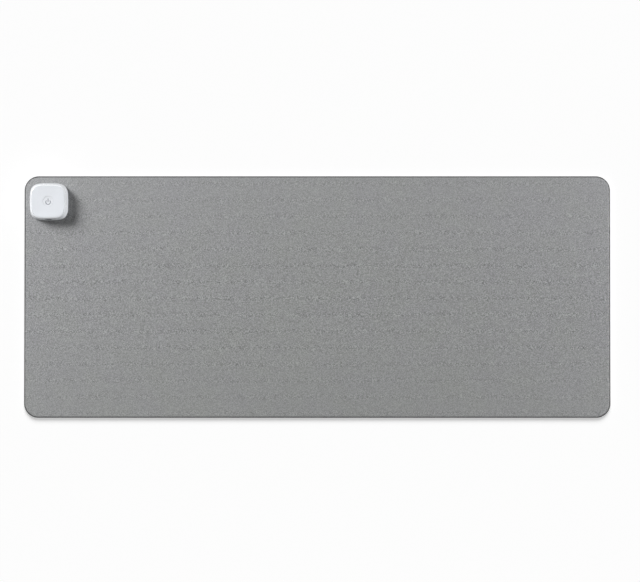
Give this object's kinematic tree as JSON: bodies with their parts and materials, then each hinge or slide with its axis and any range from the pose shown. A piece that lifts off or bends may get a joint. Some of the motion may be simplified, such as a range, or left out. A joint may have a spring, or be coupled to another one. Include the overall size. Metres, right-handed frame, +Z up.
{
  "type": "heated desk mat",
  "caption": "Flat laminated desk mat with rounded corners, heated from inside, with a raised square controller at its rear left corner that has a round push button and a power socket.",
  "frame": {"origin": "middle of the mat's underside, on the surface that it lies on", "axes": "+X along the long side to the user's right, +Y across the mat away from the user, +Z up"},
  "size_m": [0.8, 0.33, 0.019],
  "materials": {
    "grey_leather": "fine-grained matt leatherette",
    "edge_paint": "satin sealed edge",
    "non_slip_rubber": "matt, fine non-slip texture",
    "reflector_felt": "metallised felt",
    "clear_film": "smooth amber film",
    "carbon_track": "printed carbon ink",
    "foam": "closed-cell foam",
    "white_plastic": "satin moulded plastic",
    "white_gloss": "semi-gloss moulded plastic",
    "white_button": "semi-gloss moulded plastic",
    "black_foam": "matt foam rubber",
    "dark_plastic": "fine-textured moulded plastic",
    "black_plastic": "moulded black plastic",
    "green_board": "lacquered laminate",
    "clear_lens": "clear resin",
    "red_lead": "silicone insulation",
    "black_lead": "silicone insulation",
    "amber_bead": "dipped resin",
    "steel": "nickel-plated steel",
    "brass": "plain brass"
  },
  "bodies": {
    "mat": {"base_layer": "non_slip_rubber", "heat_reflector": "reflector_felt", "heater_film": "clear_film", "heating_track": "carbon_track", "foam_cushion": "foam", "top_cover": "grey_leather", "edge_seal": "edge_paint", "clamp_plate": "dark_plastic", "case_screw_1": "steel", "case_screw_2": "steel", "case_screw_3": "steel", "case_screw_4": "steel", "controller_gasket": "black_foam", "controller_floor": "white_plastic", "controller_cover": "white_plastic", "face_panel": "white_gloss", "tactile_switch": "black_plastic", "circuit_board": "green_board", "board_screw_1": "steel", "board_screw_2": "steel", "control_chip": "black_plastic", "power_transistor": "black_plastic", "status_led": "clear_lens", "usb_c_shell": "steel", "usb_c_tongue": "black_plastic", "eyelet_live": "brass", "eyelet_return": "brass", "heater_lead_live": "red_lead", "heater_lead_return": "black_lead", "temperature_sensor": "amber_bead"},
    "button": {"power_button": "white_button", "switch_plunger": "dark_plastic"}
  },
  "joints": [
    {"name": "power_button_press", "type": "slide", "parent": "mat", "child": "button", "axis": [0, 0, -1], "range_m": [0, 0.0004], "stiffness_N_per_m": 4000}
  ]
}
